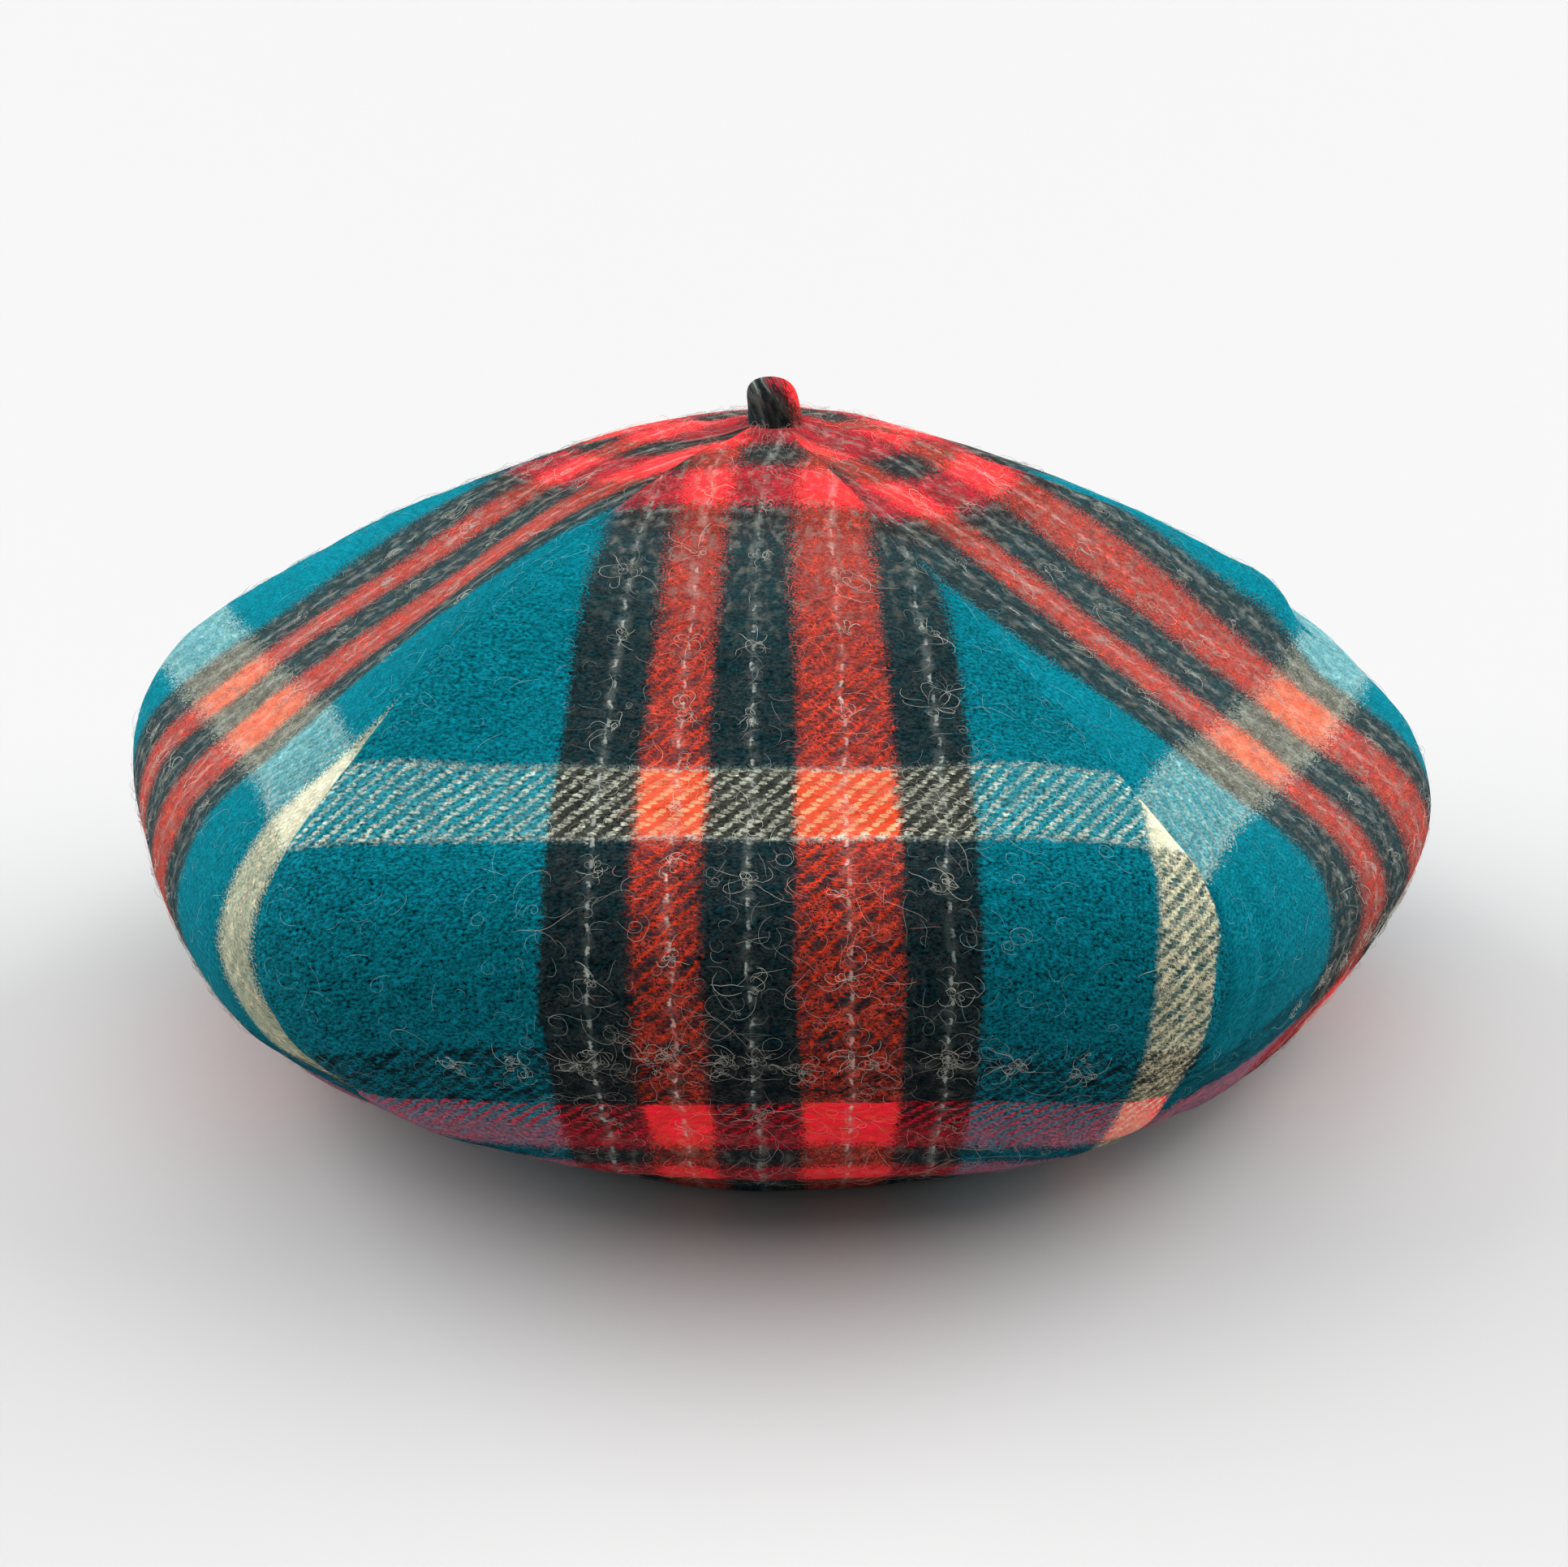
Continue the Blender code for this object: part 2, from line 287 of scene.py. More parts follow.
FINE_STEPS = 400
FINE_SHARES = 41
FREE_OF_TIP = (8.0, 55.0)  # from held to drawn across in full, by radius in millimetres


def cloth_place(node, share, step):
    """Where a place of a gore lies in its flat cloth: across from its middle, down from the tip."""
    rows = fall(np.linspace(0.0, RIM, FINE_STEPS))
    run = np.hypot(*np.diff(rows, axis=0).T)
    narrowing = np.diff(rows[:, 0]) / run
    shares = np.linspace(-1, 1, FINE_SHARES)
    lean = np.sqrt(np.clip(1 - (shares[:, None] * HALF_ANGLE * narrowing) ** 2, 0.05, 1))
    lengths = np.concatenate([np.zeros((FINE_SHARES, 1)), np.cumsum(run * lean, 1)], 1)
    aside = (share + 1) / 2 * (FINE_SHARES - 1)
    column = np.clip(np.floor(aside).astype(int), 0, FINE_SHARES - 2)
    aside = aside - column
    below = np.clip(step / RIM * (FINE_STEPS - 1), 0, FINE_STEPS - 1.001)
    row = np.floor(below).astype(int)
    below = below - row
    near = lengths[column, row] * (1 - below) + lengths[column, row + 1] * below
    far = lengths[column + 1, row] * (1 - below) + lengths[column + 1, row + 1] * below
    down = near * (1 - aside) + far * aside
    radius = fall(step)[..., 0]
    across = share * HALF_ANGLE * radius
    if node in DRAWN_ACROSS:
        free = smooth(*FREE_OF_TIP, radius)
        across = across + drawn(DRAWN_ACROSS[node], share, step) * free
        down = down + drawn(DRAWN_DOWN[node], share, step)
    return across, down


GORE_COLUMNS = 112
GORE_ROWS = 168
FOLD_ROWS = 5
CROWDING = 0.6  # how much closer the columns stand by the seams
RIM_STEP = 11.97  # the last row before the hem turns in
HAIRLINE = 0.04  # between a gore's edge and the seam, in millimetres


def between_seams(node, step):
    """The azimuth of a gore's middle, and half the turn and half the width between its seams."""
    before, after, _ = GORES[node]
    start, end = seam_azimuth(before, step), seam_azimuth(after, step)
    end = np.where(end < start, end + 360, end)
    half_turn = (end - start) / 2
    return (start + end) / 2, half_turn, np.radians(half_turn) * fall(step)[..., 0]


def gore_grid(node):
    """Azimuth, step, share across and half width at each point of a gore, row by row."""
    step = np.linspace(first_step(), RIM_STEP, GORE_ROWS + 1)
    even = np.linspace(-1, 1, GORE_COLUMNS + 1)
    share = CROWDING * np.sin(np.pi / 2 * even) + (1 - CROWDING) * even
    middle, half_turn, half_width = between_seams(node, step)
    inside_seam = half_turn * (1 - HAIRLINE / half_width)
    azimuth = middle[:, None] + inside_seam[:, None] * share
    steps, shares = np.meshgrid(step, share, indexing="ij")
    widths = np.repeat(half_width[:, None], len(share), 1)
    return azimuth, steps, shares, widths


ALLOWANCE_CLOTH = 1.5  # how much thicker the allowance makes the cloth, in millimetres
ALLOWANCE_EASES = 1.2  # over so much cloth at its edge
ALLOWANCE_SHOWS = (20, 34)  # from none of it to all, by half the gore's width
HEM_EASES = 1.6
FLOOR_GAP = 0.6  # the faces of the cloth stay so far above the ground, in millimetres


def gore_wall(node, grid):
    """The outer and inner faces of a gore's cloth, thicker at the hem and by the seams."""
    azimuth, steps, shares, widths = grid
    outer, way = outside(node, *grid)
    base = plain(azimuth, steps)
    height = base[..., 2]
    edge = (1 - np.abs(shares)) * widths
    deep = CLOTH + (HEM_CLOTH - CLOTH) * smooth(HEM_WIDTH, HEM_WIDTH - HEM_EASES, height)
    folded_back = smooth(ALLOWANCE, ALLOWANCE - ALLOWANCE_EASES, edge)
    folded_back = folded_back * smooth(*ALLOWANCE_SHOWS, widths)
    above_hem = smooth(HEM_WIDTH - 2, HEM_WIDTH + 6, height)
    deep = deep + ALLOWANCE_CLOTH * folded_back * above_hem
    inner = base + way * (form(node, *grid) - deep)[..., None]
    for face in (outer, inner):
        face[..., 2] = np.maximum(face[..., 2], FLOOR_GAP)
    return outer, inner


FOLD_DROP = 2.6  # how far the fold of the hem goes below the cloth's last row, in millimetres
FOLD_TAKES = (0.8, 4.0)  # how far down the cut the first and last rows of the fold lie
INSIDE_TAKES = 5.0  # and how far the inner face does, behind the outer


def rim_fold(outer, inner):
    """Rows of points round the fold of the hem, from the outer face's last row to the inner's."""
    middle = (outer[-1] + inner[-1]) / 2
    rows = []
    for k in range(1, FOLD_ROWS + 1):
        turn = math.pi * k / (FOLD_ROWS + 1)
        row = middle + (outer[-1] - middle) * math.cos(turn)
        row[:, 2] -= FOLD_DROP * math.sin(turn)
        row[:, 2] = np.maximum(row[:, 2], 0.0)
        rows.append(row)
    return np.array(rows)


def wrapped(values):
    """A grid's values on the whole ring of rows: down the outside, round the fold, up inside."""
    return np.concatenate([values, values[-1:].repeat(FOLD_ROWS, 0), values[::-1]])


def ring_faces(count, wide):
    """The faces of a wall whose rows of points go round it, with its two seam edges closed."""
    index = np.arange(count * wide).reshape(count, wide)
    faces = []
    for k in range(count):
        a, b = index[k], index[(k + 1) % count]
        faces += [(a[j], a[j + 1], b[j + 1], b[j]) for j in range(wide - 1)]
    for j in (0, wide - 1):
        for k in range(GORE_ROWS):
            faces.append((index[k, j], index[k + 1, j], index[-2 - k, j], index[-1 - k, j]))
        faces.append(tuple(index[GORE_ROWS : GORE_ROWS + FOLD_ROWS + 2, j]))
    return [tuple(map(int, face)) for face in faces]


# How far brushing has hidden the weave, from 0 to 1: least on the front of the hat, more on the
# other gores, on the crown, below the shoulder and round the tip, and most at the two sides.
# Cloth that is little brushed is also drawn darker, so the least brushed low front of the hat
# carries painted shade.
FRONT_AZIMUTH = -3.0
OTHER_GORES_NAP = 0.62
CROWN_NAP = 0.22
UNDERSIDE_NAP = 0.55
TIP_NAP = 0.92
SIDE_NAP = 0.9
BACK_NAP = 0.55


def gore_nap_and_shade(node, azimuth, steps):
    """How far each point of a gore is brushed. The less brushed, the darker its nap is drawn, which
    places painted shade on the low front.
    """
    off_front = np.abs((azimuth - FRONT_AZIMUTH + 180) % 360 - 180)
    aside = SIDE_NAP * smooth(38, 64, off_front)
    aside = aside - (SIDE_NAP - BACK_NAP) * smooth(115, 150, off_front)
    crown = CROWN_NAP * smooth(8.2, 5.6, steps) + (TIP_NAP - CROWN_NAP) * smooth(4.6, 2.2, steps)
    underside = UNDERSIDE_NAP * smooth(9.6, 10.8, steps)
    least = 0.0 if node == "gore_front" else OTHER_GORES_NAP
    return np.maximum(np.maximum(aside, crown), np.maximum(underside, least))


CUT_MIDDLE = 0.1  # the middle of the cloth lies so far across in the UV map, in metres


def lay_cut(mesh, across, down):
    """Write each point's place in the flat cloth, in millimetres, to the mesh's UV map in metres."""
    cut = np.stack([across * MM + CUT_MIDDLE, down * MM], -1).reshape(-1, 2)
    corners = np.empty(len(mesh.loops), int)
    mesh.loops.foreach_get("vertex_index", corners)
    layer = mesh.uv_layers.new(name="cut")
    layer.data.foreach_set("uv", cut[corners].ravel().astype(np.float32))


def brush(mesh, nap):
    """Write how far each point of a mesh is brushed to its own attribute."""
    brushed = mesh.attributes.new("brushed", "FLOAT", "POINT")
    brushed.data.foreach_set("value", nap.ravel().astype(np.float32))


def placed(name, data):
    """A new object in the scene, with its mesh, light or lens."""
    made = bpy.data.objects.new(name, data)
    bpy.context.collection.objects.link(made)
    return made


def cut_gore(node):
    """Model one gore of cloth between its two seams and return its object."""
    name = node + "_cloth"
    grid = gore_grid(node)
    azimuth, steps, shares, _ = grid
    outer, inner = gore_wall(node, grid)
    rings = np.concatenate([outer, rim_fold(outer, inner), inner[::-1]])
    mesh = bpy.data.meshes.new(name)
    mesh.from_pydata((rings.reshape(-1, 3) * MM).tolist(), [], ring_faces(*rings.shape[:2]))

    over, down = [wrapped(values) for values in cloth_place(node, shares, steps)]
    inside = len(outer) + FOLD_ROWS
    down[len(outer) : inside] += np.linspace(*FOLD_TAKES, FOLD_ROWS)[:, None]
    down[inside:] += INSIDE_TAKES
    lay_cut(mesh, over, down)
    brush(mesh, gore_nap_and_shade(node, wrapped(azimuth), wrapped(steps)))

    straight = bmesh.new()
    straight.from_mesh(mesh)
    bmesh.ops.recalc_face_normals(straight, faces=straight.faces)
    straight.to_mesh(mesh)
    straight.free()
    mesh.shade_smooth()
    mesh.set_sharp_from_angle(angle=math.radians(60))
    return placed(name, mesh)


# The tartan: black, orange and cream stripes in a teal ground, with black, red and white bands
# across them, in a twill that slants up to the right, brushed until its threads blur.


def dye(red, green, blue, bold=0.0):
    """A colour from its 0 to 255 values, with how far its threads hide the ones they cross."""
    part = [c / 255 for c in (red, green, blue)]
    light = [p / 12.92 if p <= 0.04045 else ((p + 0.055) / 1.055) ** 2.4 for p in part]
    return (*light, bold)


TEAL = dye(0, 132, 150)
BLACK = dye(19, 23, 25, 0.90)
ORANGE = dye(232, 60, 18, 0.92)
CREAM = dye(232, 234, 194, 0.48)
TEAL_WEFT = dye(0, 114, 128)
BLACK_WEFT = dye(18, 36, 46, 0.5)
RED_WEFT = dye(255, 24, 60, 1.0)
WHITE_WEFT = dye(238, 240, 216, 1.0)
SHADOW = dye(20, 36, 40)
SLUB = dye(220, 228, 218)
FIBRE = dye(150, 146, 134)

# the stripes down a gore: from where, in millimetres from its middle, and their colour
STRIPES = (
    (-100.0, TEAL),
    (-29.2, BLACK),
    (-15.5, ORANGE),
    (-4.8, BLACK),
    (10.0, ORANGE),
    (25.9, BLACK),
    (38.9, TEAL),
    (69.6, CREAM),
    (82.5, TEAL),
)
# the bands across it: from where, in millimetres from the tip, and their colour
BANDS = (
    (0.0, RED_WEFT),
    (9.0, BLACK_WEFT),
    (19.5, RED_WEFT),
    (32.7, BLACK_WEFT),
    (42.5, TEAL_WEFT),
    (105.7, WHITE_WEFT),
    (124.0, TEAL_WEFT),
    (172.0, BLACK_WEFT),
    (190.5, RED_WEFT),
    (207.2, BLACK_WEFT),
    (214.1, RED_WEFT),
    (223.0, BLACK_WEFT),
    (233.0, TEAL_WEFT),
)
PALE_THREADS_DOWN = (-22.0, -9.6, 2.6, 17.8, 33.4)
PALE_THREADS_ACROSS = (34.5, 39.0, 178.0)
PALE_REACH = 2.0  # the fibres of a pale thread go so far to each side, in millimetres
STRIPE_EDGE = 0.3  # and those of a stripe so far over its edges
CLOTH_ACROSS = (-100.0, 100.0)
CLOTH_DOWN = (0.0, 260.0)

# the twill, in millimetres
PICK = 1.08  # from one weft thread to the next
RIB = 3.3  # from one slanting rib to the next, across
PICKS_TO_A_RIB = 4.0  # a rib slants by its own width in so many picks
SLUB_DOWN = 5.2  # from one dash of a pale thread to the next, down the cloth and across it
SLUB_ACROSS = 4.4
# the loops of the curled fibres: how many to a millimetre, and where in the noise they are taken
CURLS = ((0.36, 0.0), (0.52, 37.0), (0.78, 71.0), (1.1, 19.0))


def banded(rows):
    """Marks for a ramp of stripes, each of which is given by where it starts and its colour."""
    marks = []
    for (at, colour), (_, was) in zip(rows[1:], rows):
        marks += [(at - STRIPE_EDGE, was), (at + STRIPE_EDGE, colour)]
    return marks


def dotted(places):
    """Marks for a ramp that is white at each place and black everywhere else."""
    black, white = (0, 0, 0, 1), (1, 1, 1, 1)
    marks = []
    for at in places:
        marks += [(at - PALE_REACH, black), (at, white), (at + PALE_REACH, black)]
    return marks


class Bench:
    """Adds nodes to a tree and joins them up."""

    def __init__(self, tree):
        self.tree = tree

    def feed(self, socket, value):
        """Join a socket to another node's output, or set its value."""
        if isinstance(value, bpy.types.NodeSocket):
            self.tree.links.new(value, socket)
        else:
            socket.default_value = value

    def put(self, kind, settings=None, **inputs):
        """A new node with its settings, and its inputs by name or by number: i0, i1 and on."""
        node = self.tree.nodes.new(kind)
        for key, value in (settings or {}).items():
            setattr(node, key, value)
        for key, value in inputs.items():
            socket = int(key[1:]) if key[1:].isdigit() else key.replace("_", " ")
            self.feed(node.inputs[socket], value)
        return node

    def maths(self, operation, first, second=0.0, third=0.0):
        settings = {"operation": operation}
        return self.put("ShaderNodeMath", settings, i0=first, i1=second, i2=third).outputs[0]

    def plus(self, first, second):
        return self.maths("ADD", first, second)

    def minus(self, first, second):
        return self.maths("SUBTRACT", first, second)

    def times(self, first, second, plus=0.0):
        """The product of two values, with a third added."""
        return self.maths("MULTIPLY_ADD", first, second, plus)

    def off_half(self, value):
        """How far a value is from a half."""
        return self.maths("ABSOLUTE", self.minus(value, 0.5))

    def towards(self, share, first, second):
        """A value that goes from the first to the second as the share goes from 0 to 1."""
        return self.plus(first, self.times(share, self.minus(second, first)))

    def vectors(self, operation, first, second, third=(0, 0, 0)):
        settings = {"operation": operation}
        node = self.put("ShaderNodeVectorMath", settings, i0=first, i1=second, i2=third)
        return node.outputs[0]

    def scaled(self, vector, times, plus=(0, 0, 0)):
        return self.vectors("MULTIPLY_ADD", vector, times, plus)

    def dimmed(self, vector, share):
        settings = {"operation": "SCALE"}
        return self.put("ShaderNodeVectorMath", settings, Vector=vector, Scale=share).outputs[0]

    def between(self, value, low, high, to_low=0.0, to_high=1.0, kind="SMOOTHSTEP"):
        """How far a value is from low to high, eased, as a share or from to_low to to_high."""
        span = {"From_Min": low, "From_Max": high, "To_Min": to_low, "To_Max": to_high}
        node = self.put("ShaderNodeMapRange", {"interpolation_type": kind}, Value=value, **span)
        return node.outputs["Result"]

    def straight(self, value, low, high, to_low=0.0, to_high=1.0):
        """The same without the easing."""
        return self.between(value, low, high, to_low, to_high, "LINEAR")

    def mix(self, share, first, second):
        settings = {"data_type": "RGBA"}
        return self.put("ShaderNodeMix", settings, i0=share, i6=first, i7=second).outputs[2]

    def clouds(self, vector, scale, detail=2.0, distortion=0.0, output="Fac"):
        """Noise that has about so many clouds to a millimetre."""
        settings = {"Scale": scale, "Detail": detail, "Distortion": distortion}
        return self.put("ShaderNodeTexNoise", Vector=vector, **settings).outputs[output]

    def ramp(self, value, span, marks):
        """Colours along a distance: each mark is a place and its colour, blended in between."""
        low, high = span
        node = self.put("ShaderNodeValToRGB", Fac=self.straight(value, low, high))
        stops = node.color_ramp.elements
        stops[0].color, stops[1].color = marks[0][1], marks[-1][1]
        for at, colour in marks:
            stops.new((at - low) / (high - low)).color = colour
        return node.outputs["Color"], node.outputs["Alpha"]


class Tartan(Bench):
    """The cloth, built up in a node tree from each point's place in the cut and its brushing."""

    def __init__(self, tree, cut, brushed):
        super().__init__(tree)
        self.cut = cut
        self.brushed = brushed

    def uneven(self, scale, detail, low, high, to_low=0.0, to_high=1.0):
        """Noise over the cloth, brought from between low and high to between a new pair."""
        return self.straight(self.clouds(self.cut, scale, detail), low, high, to_low, to_high)

    def stray(self, scale, detail, across, down):
        """Noise that moves a place by up to so many millimetres across and down."""
        cloud = self.clouds(self.cut, scale, detail, output="Color")
        return self.scaled(cloud, (2 * across, 2 * down, 0), (-across, -down, 0))

    def lay_threads(self):
        """The dyed threads. They wander a little, and where the cloth is brushed their fibres
        stray further over the edges of the stripes."""
        bent = self.vectors("ADD", self.cut, self.stray(0.05, 1.0, 1.0, 1.0))
        fluff = self.dimmed(self.stray(2.4, 3.0, 10.0, 9.0), self.brushed)
        frayed = self.vectors("ADD", self.stray(0.8, 4.0, 1.5, 1.2), fluff)
        loose = self.vectors("ADD", bent, frayed)
        self.across, self.down, _ = self.put("ShaderNodeSeparateXYZ", Vector=bent).outputs
        across, down, _ = self.put("ShaderNodeSeparateXYZ", Vector=loose).outputs
        self.warp, self.warp_bold = self.ramp(across, CLOTH_ACROSS, banded(STRIPES))
        self.weft, self.weft_bold = self.ramp(down, CLOTH_DOWN, banded(BANDS))

    def compare_threads(self):
        """Masks of where threads lie: orange warp, dark weft, white weft, pink where a red weft
        crosses the orange, and hidden where a bold warp covers a plain weft."""
        warp = self.put("ShaderNodeSeparateColor", Color=self.warp)
        weft = self.put("ShaderNodeSeparateColor", Color=self.weft)
        self.warp_red, warp_green, _ = warp.outputs
        self.weft_red, weft_green, _ = weft.outputs
        self.orange = self.minus(self.warp_red, warp_green)
        self.hidden = self.times(self.warp_bold, self.minus(1.0, self.weft_bold))
        self.dark_weft = self.maths("PINGPONG", self.weft_bold, 0.5)
        red_weft = self.minus(self.weft_red, weft_green)
        self.pink = self.times(self.between(self.warp_red, 0.40, 0.70), red_weft)
        white = self.straight(self.weft_bold, 0.90, 0.98)
        self.white = self.times(white, self.straight(weft_green, 0.3, 0.6))

    def cross_threads(self):
        """The twill: each pick passes over two threads and steps one thread along."""
        picks = self.maths("DIVIDE", self.down, PICK)
        stepped = self.maths("DIVIDE", self.maths("FLOOR", picks), PICKS_TO_A_RIB)
        slant = self.plus(self.maths("DIVIDE", self.across, RIB), stepped)
        self.rib = self.times(self.maths("PINGPONG", slant, 0.5), 2.0)
        ragged = self.uneven(0.9, 3.0, 0.22, 0.78, -0.40, 0.40)
        gaps = self.between(self.off_half(self.maths("FRACT", picks)), 0.25, 0.5, 0.0, 0.25)
        self.lifted = self.minus(self.plus(self.rib, ragged), gaps)
        shown = self.times(self.hidden, 0.48, self.lifted)
        shown = self.times(self.dark_weft, 0.60, shown)
        shown = self.times(self.pink, 0.45, shown)
        self.weft_over = self.between(shown, 0.46, 0.66)

    def weave(self):
        """The crossed threads. A bold one leaves the one that it crosses in its shadow, and the
        white weft is half buried in coloured fibres and shows clean only in short dashes."""
        buried = self.scaled(self.warp, (1.7, 2.0, 1.8), (0.030, 0.034, 0.022))
        veiled = self.vectors("MINIMUM", buried, (0.85, 0.85, 0.80))
        dashes = self.towards(self.brushed, self.between(self.lifted, 0.46, 0.68), 0.34)
        tinged = self.mix(self.orange, self.weft, self.scaled(self.weft, (0.95, 0.50, 0.20)))
        weft = self.mix(self.hidden, self.weft, SHADOW)
        weft = self.mix(self.white, weft, self.mix(dashes, veiled, tinged))
        veiling = self.times(self.white, self.times(self.warp_red, -0.30, 0.40))
        warp = self.mix(veiling, self.warp, veiled)
        woven = self.mix(self.weft_over, warp, weft)
        return self.rub(woven, weft)

    def rub(self, woven, weft):
        """Brushing blurs the threads into a haze of their colours, in patches."""
        share = self.times(self.pink, 0.30, 0.46)
        share = self.times(self.dark_weft, 0.40, share)
        share = self.times(self.hidden, 0.20, share)
        haze = self.mix(share, self.warp, self.mix(0.20, weft, self.weft))
        haze = self.mix(self.times(self.warp_bold, self.times(self.brushed, 0.08)), haze, FIBRE)
        rubbed = self.times(self.brushed, 0.75, self.clouds(self.cut, 0.11, 4.0))
        return self.mix(self.between(rubbed, 0.38, 1.05, 0.10, 1.0), woven, haze)

    def raise_nap(self, cloth):
        """The nap has dark hollows, deep where it is little brushed, which also darkens the low
        front of the hat as painted shade; from 120 to 180 mm down the cut it is darkened more, as
        painted shade."""
        # where the cloth is little brushed, the deep pits also darken it on the whole: painted shade
        # on the low front of the hat
        speckle = self.clouds(self.cut, 1.35, 4.0)
        deep = self.straight(speckle, 0.34, 0.66, 0.0, 1.10)
        shallow = self.straight(speckle, 0.28, 0.72, 0.72, 1.40)
        calm = self.times(self.warp_red, self.times(self.weft_red, 0.95, 0.25))
        self.pits_and_shade = self.towards(self.brushed, deep, shallow)
        self.pits_and_shade = self.towards(calm, self.pits_and_shade, self.times(self.white, -0.26, 1.26))
        strands = self.clouds(self.scaled(self.cut, (0.35, 1.0, 1)), 0.7, 2.0)
        streaks = self.straight(strands, 0.3, 0.7, 0.80, 1.20)
        patches = self.uneven(0.045, 2.0, 0.25, 0.75, 0.90, 1.10)
        # painted shade: from 120 to 180 mm down the cut the cloth is darkened by up to a fifth,
        # except where the weft is red
        low = self.times(self.between(self.down, 120.0, 180.0), self.minus(1.0, self.weft_red))
        shade = self.times(self.times(self.pits_and_shade, patches), streaks)
        return self.dimmed(cloth, self.times(shade, self.times(low, -0.20, 1.0)))

    def add_curls(self, cloth):
        """Curled fibres of several sizes that catch the light."""
        curls = 0.0
        for scale, place in CURLS:
            moved = self.scaled(self.cut, (1, 1, 1), (place, place, 0))
            loops = self.off_half(self.clouds(moved, scale, 1.0, distortion=0.9))
            curls = self.maths("MAXIMUM", curls, self.between(loops, 0.034, 0.004))
        thick = self.between(self.clouds(self.cut, 0.25, 2.0), 0.34, 0.60)
        self.curls = self.times(curls, thick)
        lighter = self.scaled(self.warp, (1.5, 1.25, 1.25), (0.004, 0.01, 0.012))
        lighter = self.mix(self.times(self.warp_bold, 0.15), lighter, FIBRE)
        return self.mix(self.times(self.curls, 0.56), cloth, lighter)

    def add_down(self, cloth):
        """Where it is brushed most, a grey down of loose fibres lies over the bold stripes."""
        strands = self.clouds(self.scaled(self.cut, (1.0, 0.6, 1.0)), 0.50, 5.0)
        most = self.between(self.brushed, 0.20, 0.90, 0.04, 0.50)
        share = self.times(self.between(strands, 0.48, 0.72), most)
        return self.mix(self.times(share, self.warp_bold), cloth, FIBRE)

    def slub(self, near, along, length, drift, trace):
        """A pale thread that comes up in dashes along its way, with a haze to each side."""
        rise = self.plus(self.maths("DIVIDE", along, length), self.clouds(self.cut, drift, 1.0))
        rise = self.maths("PINGPONG", rise, 0.5)
        frayed = self.uneven(1.3, 3.0, 0.30, 0.70, -0.35, 0.35)
        body = self.times(frayed, 0.22, near)
        core = self.times(self.between(body, 0.74, 0.90), self.times(self.brushed, -0.5, 1.0))
        dash = self.between(self.times(frayed, 0.25, rise), 0.27, 0.36, trace, 1.0)
        haze = self.between(body, 0.10, 1.0, 0.0, self.times(self.brushed, 0.22, 0.14))
        haze = self.times(haze, self.between(self.clouds(self.cut, 0.35, 4.0), 0.42, 0.60))
        return self.maths("MAXIMUM", self.times(core, dash), haze)

    def add_slubs(self, cloth):
        """Pale slub threads run down the middle of the black and orange stripes, and a few cross
        the black ones."""
        jitter = self.uneven(0.20, 2.0, 0.25, 0.75, -0.45, 0.45)
        across = self.plus(self.across, jitter)
        down = self.plus(self.down, jitter)
        near_down, _ = self.ramp(across, CLOTH_ACROSS, dotted(PALE_THREADS_DOWN))
        near_across, _ = self.ramp(down, CLOTH_DOWN, dotted(PALE_THREADS_ACROSS))
        near_across = self.times(near_across, self.minus(self.warp_bold, self.warp_red))
        slubs_down = self.slub(near_down, self.down, SLUB_DOWN, 0.05, 0.12)
        slubs_across = self.slub(near_across, self.across, SLUB_ACROSS, 0.07, 0.0)
        strength = self.uneven(0.10, 2.0, 0.32, 0.62, 0.45, 1.0)
        self.pale = self.times(self.maths("MAXIMUM", slubs_down, slubs_across), strength)
        veil = self.scaled(self.warp, (1.6, 1.6, 1.6), (0.02, 0.03, 0.03))
        veil = self.mix(0.30, SLUB, veil)
        return self.mix(self.times(self.pale, 0.92), cloth, veil)

    def relief(self):
        """The height of the nap, with the ribs, the curls and the slub threads on it."""
        ribs = self.times(self.off_half(self.rib), 0.4)
        height = self.times(self.pits_and_shade, 0.5, ribs)
        height = self.times(self.curls, 0.35, height)
        return self.times(self.pale, 0.5, height)


def weave_tartan():
    """The node group of the tartan: the cloth's colour and its relief from its place in the cut."""
    tree = bpy.data.node_groups.new("tartan_twill", "ShaderNodeTree")
    for name, way, kind in (
        ("Cut", "INPUT", "NodeSocketVector"),
        ("Brushed", "INPUT", "NodeSocketFloat"),
        ("Color", "OUTPUT", "NodeSocketColor"),
        ("Relief", "OUTPUT", "NodeSocketFloat"),
    ):
        tree.interface.new_socket(name, in_out=way, socket_type=kind)
    start = tree.nodes.new("NodeGroupInput")
    tartan = Tartan(tree, start.outputs["Cut"], start.outputs["Brushed"])
    tartan.lay_threads()
    tartan.compare_threads()
    tartan.cross_threads()
    cloth = tartan.raise_nap(tartan.weave())
    cloth = tartan.add_down(tartan.add_curls(cloth))
    cloth = tartan.add_slubs(cloth)
    tartan.put("NodeGroupOutput", Color=cloth, Relief=tartan.relief())
    return tree


TARTAN = weave_tartan()


def cut_cloth(b, brushed):
    """The tartan in a material, laid out by the piece's own cut: each point's place in it in
    millimetres, and the group's node."""
    flat = b.put("ShaderNodeUVMap", {"uv_map": "cut"}).outputs[0]
    moved = {"Location": (-CUT_MIDDLE / MM, 0.0, 0.0), "Scale": (1 / MM, 1 / MM, 1.0)}
    place = b.put("ShaderNodeMapping", Vector=flat, **moved).outputs[0]
    return place, b.put("ShaderNodeGroup", {"node_tree": TARTAN}, Cut=place, Brushed=brushed)


def finish(name, roughness, gloss):
    """A new material, with its shader and a bench for its other nodes."""
    made = bpy.data.materials.new(name)
    made.use_nodes = True
    shader = made.node_tree.nodes["Principled BSDF"]
    shader.inputs["Roughness"].default_value = roughness
    shader.inputs["Specular IOR Level"].default_value = gloss
    return made, shader, Bench(made.node_tree)


